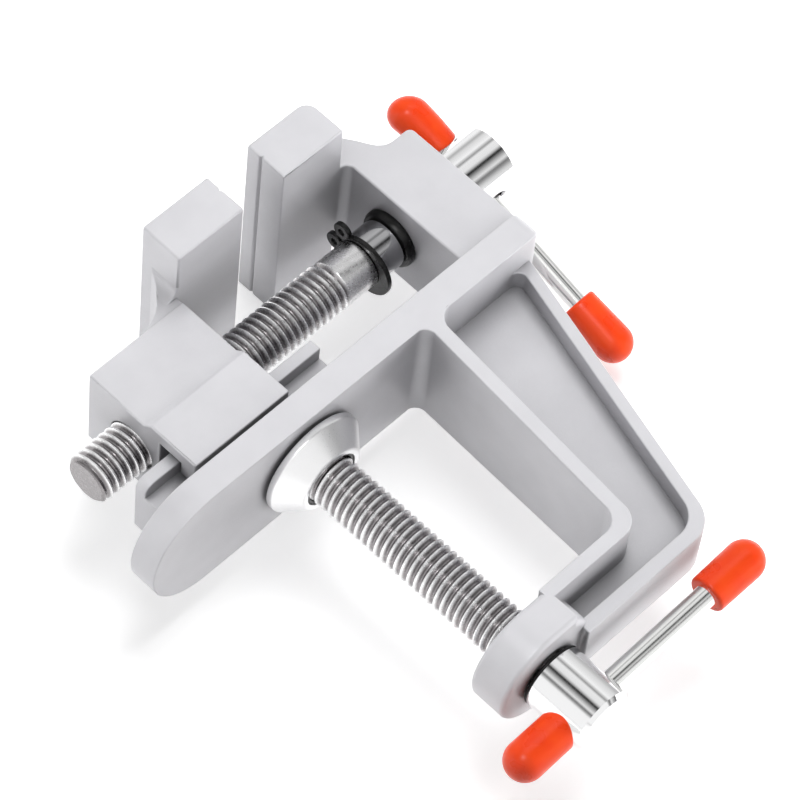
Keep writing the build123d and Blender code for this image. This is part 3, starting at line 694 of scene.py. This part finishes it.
def make_clamp_handle():
    """Head, bar and caps of the clamp screw."""
    low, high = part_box("clamp_screw_head")
    near = (high.y - low.y) / 2 + CAP_GAP
    bar_low, bar_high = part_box("clamp_handle_bar")
    bar_radius = (bar_high.z - bar_low.z) / 2
    center = Vector((0, 0, (bar_low.z + bar_high.z) / 2))
    away = Vector((math.cos(CLAMP_BAR_TILT), -math.sin(CLAMP_BAR_TILT), 0))
    make_head(
        "clamp_screw_head", "clamp_screw", "chrome_clamp", "grey_rim_shade", (center, Z),
        (center, away), bar_radius + CLAMP_HOLE_PLAY,
    )
    make_bar(
        "clamp_handle_bar", "clamp_bar", "clamp_bar_metal", center, away, CLAMP_BAR_ENDS,
        bar_radius,
    )
    make_cap(
        "clamp_cap_near", "clamp_bar", center, -away, bar_radius, start=near,
        head=(Z, near), **CLAMP_NEAR_CAP,
    )
    make_cap("clamp_cap_far", "clamp_bar", center, away, bar_radius, **CLAMP_FAR_CAP)


make_castings()
make_lead_screw()
make_clamp_screw()
make_lead_handle()
make_clamp_handle()
make_small_pieces()


# ---- stage, light and camera ----
def make_ground():
    """Upright white ground that the jaw ends touch. It keeps the shadow.

    It is clear from behind and to shadow rays, and gives less light to what lies on it.
    """
    ground_y = cad_box[1].y + GROUND_GAP
    sides = ((-1, -1), (1, -1), (1, 1), (-1, 1))
    corners = [(GROUND_REACH * x, ground_y, GROUND_REACH * z) for x, z in sides]
    mesh = bpy.data.meshes.new("ground")
    mesh.from_pydata(corners, [], [(0, 1, 2, 3)])
    ground = bpy.data.objects.new("ground", mesh)
    bpy.context.scene.collection.objects.link(ground)

    material = bpy.data.materials.new("ground")
    material.use_nodes = True
    material.node_tree.nodes.clear()
    path = new_node(material, "ShaderNodeLightPath")
    face = new_node(material, "ShaderNodeNewGeometry")
    lit = new_node(material, "ShaderNodeBsdfDiffuse")
    glow = new_node(material, "ShaderNodeEmission")
    for seen, bounced, socket in (
        (1.0, GROUND_BOUNCE, lit.inputs["Color"]),
        (GROUND_GLOW, 0.0, glow.inputs["Strength"]),
    ):
        link(material, remap(material, path.outputs["Is Diffuse Ray"], seen, bounced, 0, 1), socket)
    white = new_node(material, "ShaderNodeAddShader")
    link(material, lit.outputs[0], white.inputs[0])
    link(material, glow.outputs[0], white.inputs[1])
    clear = new_node(material, "ShaderNodeBsdfTransparent")
    is_clear = new_node(material, "ShaderNodeMath", operation="MAXIMUM")
    link(material, face.outputs["Backfacing"], is_clear.inputs[0])
    link(material, path.outputs["Is Shadow Ray"], is_clear.inputs[1])
    surface = new_node(material, "ShaderNodeMixShader")
    link(material, is_clear.outputs[0], surface.inputs[0])
    link(material, white.outputs[0], surface.inputs[1])
    link(material, clear.outputs[0], surface.inputs[2])
    output = new_node(material, "ShaderNodeOutputMaterial")
    link(material, surface.outputs[0], output.inputs["Surface"])
    mesh.materials.append(material)


def flag_stop(where):
    """Place of a flag on the ramp, from 0 to 1."""
    return (where / FLAG_SPAN + 1) / 2


def make_world():
    """White to the camera, an even grey light, and a studio with dark flags in it to gloss."""
    world = bpy.data.worlds.new("studio")
    bpy.context.scene.world = world
    world.use_nodes = True
    world.node_tree.nodes.clear()
    path = new_node(world, "ShaderNodeLightPath")
    white = new_node(world, "ShaderNodeBackground")
    even = new_node(world, "ShaderNodeBackground", strength=EVEN_LIGHT)
    is_white = new_node(world, "ShaderNodeMath", operation="MAXIMUM")
    link(world, path.outputs["Is Camera Ray"], is_white.inputs[0])
    link(world, path.outputs["Is Transmission Ray"], is_white.inputs[1])
    plain = new_node(world, "ShaderNodeMixShader")
    link(world, is_white.outputs[0], plain.inputs[0])
    link(world, even.outputs[0], plain.inputs[1])
    link(world, white.outputs[0], plain.inputs[2])

    # the studio that gloss shows is white, with flags that lie across the direction (1, 0, 1)
    place = new_node(world, "ShaderNodeTexCoord")
    across = new_node(world, "ShaderNodeVectorMath", operation="DOT_PRODUCT")
    across.inputs[1].default_value = (1, 0, 1)
    link(world, place.outputs["Generated"], across.inputs[0])
    ramp = new_node(world, "ShaderNodeValToRGB")
    spread = remap(world, across.outputs["Value"], 0, 1, -FLAG_SPAN, FLAG_SPAN)
    link(world, spread, ramp.inputs["Fac"])
    stops = ramp.color_ramp.elements
    for stop, (where, light) in zip(stops, (FLAGS[0], FLAGS[-1])):
        stop.position = flag_stop(where)
        stop.color = (light, light, light, 1)
    for where, light in FLAGS[1:-1]:
        stops.new(flag_stop(where)).color = (light, light, light, 1)
    studio = new_node(world, "ShaderNodeBackground")
    link(world, ramp.outputs["Color"], studio.inputs["Color"])
    surface = new_node(world, "ShaderNodeMixShader")
    link(world, path.outputs["Is Glossy Ray"], surface.inputs[0])
    link(world, plain.outputs[0], surface.inputs[1])
    link(world, studio.outputs[0], surface.inputs[2])
    output = new_node(world, "ShaderNodeOutputWorld")
    link(world, surface.outputs[0], output.inputs["Surface"])


def add_lamp(name, place, size, power, glossy=True, diffuse=True):
    """Square soft lamp that looks at the middle of the vise.

    It may stay out of gloss, or light nothing but gloss.
    """
    data = bpy.data.lights.new(name, "AREA")
    data.shape = "SQUARE"
    data.size = size
    data.energy = power
    lamp = bpy.data.objects.new(name, data)
    bpy.context.scene.collection.objects.link(lamp)
    lamp.location = (cad_box[0] + cad_box[1]) / 2 + Vector(place)
    lamp.rotation_mode = "QUATERNION"
    lamp.rotation_quaternion = (-Vector(place)).to_track_quat("-Z", "Y")
    lamp.visible_glossy = glossy
    lamp.visible_diffuse = diffuse


def make_camera():
    """Camera of the photograph."""
    data = bpy.data.cameras.new("camera")
    data.lens = CAMERA_LENS
    data.sensor_width = CAMERA_SENSOR
    data.clip_start, data.clip_end = CAMERA_CLIP
    camera = bpy.data.objects.new("camera", data)
    bpy.context.scene.collection.objects.link(camera)
    right = CAMERA_UP.cross(CAMERA_BACK).normalized()
    up = CAMERA_BACK.cross(right).normalized()
    turn = Matrix((right, up, CAMERA_BACK.normalized())).transposed().to_4x4()
    camera.matrix_world = Matrix.Translation(CAMERA_PLACE) @ turn
    bpy.context.scene.camera = camera


make_ground()
make_world()
for lamp_name, lamp_place, lamp_size, lamp_power, left_out in LAMPS:
    add_lamp(lamp_name, lamp_place, lamp_size, lamp_power, **left_out)
make_camera()
bpy.context.scene.view_settings.view_transform = "Standard"
